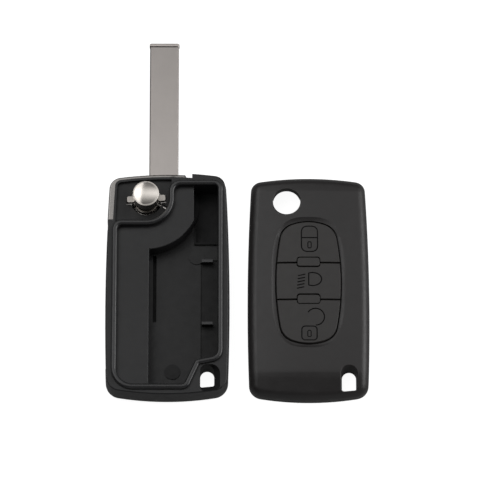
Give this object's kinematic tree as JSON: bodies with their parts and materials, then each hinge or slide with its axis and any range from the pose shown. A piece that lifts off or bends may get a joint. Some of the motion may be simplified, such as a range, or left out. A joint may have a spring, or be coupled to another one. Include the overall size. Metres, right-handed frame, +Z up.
{
  "type": "flip car key, shell opened into two halves",
  "caption": "Folding car key with its shell opened: rear half with blade and release button, and front cover with keys, side by side.",
  "frame": {"origin": "middle of the bounding box in X and Y, at the height of the table", "axes": "+Y from the key's foot to the tip of the blade, +Z up out of the open rear half, +X from the rear half to the front cover"},
  "size_m": [0.0808, 0.1174, 0.0139],
  "materials": {
    "case_plastic": "satin",
    "cover_plastic": "satin",
    "pad_rubber": "matt",
    "blade_steel": "satin",
    "head_metal": "bright",
    "button_chrome": "polished",
    "spring_steel": "bright"
  },
  "bodies": {
    "shell": {"rear_case": "case_plastic", "front_cover": "cover_plastic", "key_pad": "pad_rubber", "flip_spring": "spring_steel"},
    "head": {"blade_head": "head_metal", "blade": "blade_steel", "roll_pin": "spring_steel"},
    "release_button": {"release_button": "button_chrome"},
    "lock_key": {"lock_key": "pad_rubber"},
    "lights_key": {"lights_key": "pad_rubber"},
    "unlock_key": {"unlock_key": "pad_rubber"}
  },
  "joints": [
    {"name": "blade_flip", "type": "hinge", "parent": "shell", "child": "head", "pos_m": [-0.028, 0.00507, 0.004], "axis": [0, 0, 1], "range_deg": [0, 180], "stiffness_Nm_per_rad": 0.008, "springref_deg": -28.65, "deforming": ["flip_spring"]},
    {"name": "button_press", "type": "slide", "parent": "head", "child": "release_button", "axis": [0, 0, -1], "range_m": [0, 0.0027], "stiffness_N_per_m": 300, "deforming": ["flip_spring"]},
    {"name": "lock_press", "type": "slide", "parent": "shell", "child": "lock_key", "axis": [0, 0, -1], "range_m": [0, 0.0006], "stiffness_N_per_m": 800},
    {"name": "lights_press", "type": "slide", "parent": "shell", "child": "lights_key", "axis": [0, 0, -1], "range_m": [0, 0.0006], "stiffness_N_per_m": 800},
    {"name": "unlock_press", "type": "slide", "parent": "shell", "child": "unlock_key", "axis": [0, 0, -1], "range_m": [0, 0.0006], "stiffness_N_per_m": 800}
  ]
}
